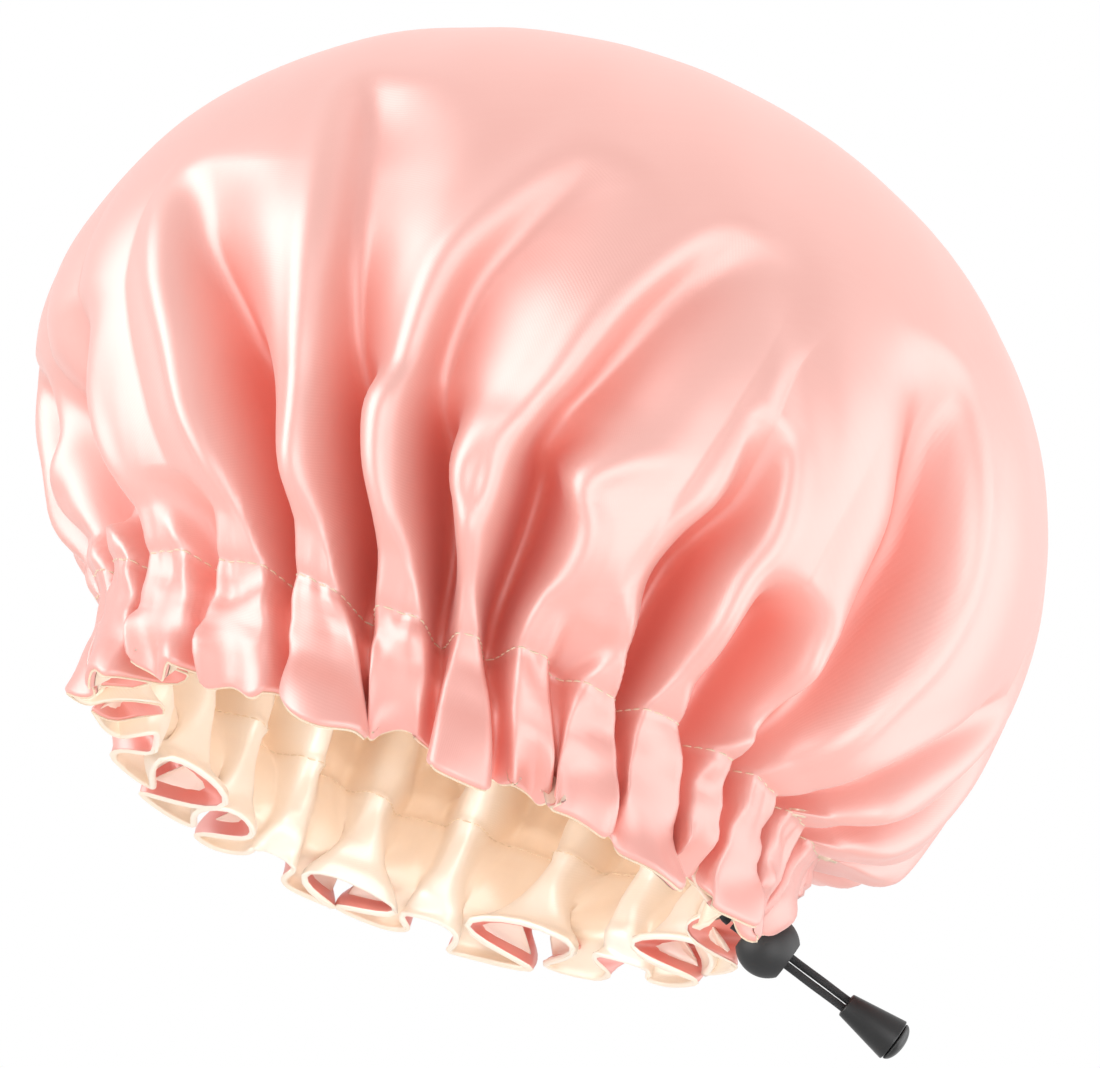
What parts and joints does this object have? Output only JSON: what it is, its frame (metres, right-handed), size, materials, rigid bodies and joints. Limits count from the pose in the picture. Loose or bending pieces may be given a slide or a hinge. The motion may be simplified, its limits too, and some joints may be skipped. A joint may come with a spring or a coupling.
{
  "type": "satin hair bonnet",
  "caption": "Double-layer satin hair bonnet with a gathered hem casing, an elastic drawcord, a spring cord lock and a cord end at the nape.",
  "frame": {"origin": "centre of the head opening, level with the hem's edge", "axes": "+Z towards the crown, +X towards the nape where the cord leaves the hem, -Y towards the pictured side"},
  "size_m": [0.2678, 0.2637, 0.2148],
  "materials": {
    "satin_outer": "pink satin weave with a soft sheen",
    "satin_lining": "champagne satin weave with a soft sheen",
    "thread": "twisted sewing thread",
    "cord": "braided elastic cord",
    "hardware": "moulded, fine matte grain",
    "spring": "bright wire"
  },
  "bodies": {
    "bonnet": {"outer_shell": "satin_outer", "lining": "satin_lining", "topstitch_needle_thread": "thread", "topstitch_bobbin_thread": "thread", "edge_seam_thread": "thread", "drawcord": "cord"},
    "tail": {"tail_cord_left": "cord", "tail_cord_right": "cord", "cord_knot": "cord", "cord_bell": "hardware", "bell_lid": "hardware"},
    "lock": {"lock_body": "hardware", "lock_spring": "spring"},
    "plunger": {"lock_plunger": "hardware"}
  },
  "joints": [
    {"name": "tail_swing", "type": "hinge", "parent": "bonnet", "child": "tail", "pos_m": [0.08268, 0, 0.0069], "axis": [0, 1, 0], "range_deg": [-5, 70]},
    {"name": "lock_slide", "type": "slide", "parent": "tail", "child": "lock", "axis": [0.9613, 0, -0.2756], "range_m": [0, 0.017]},
    {"name": "plunger_press", "type": "slide", "parent": "lock", "child": "plunger", "axis": [0, -1, 0], "range_m": [0, 0.002], "stiffness_N_per_m": 1000, "springref_m": -0.003, "deforming": ["lock_spring"]}
  ]
}
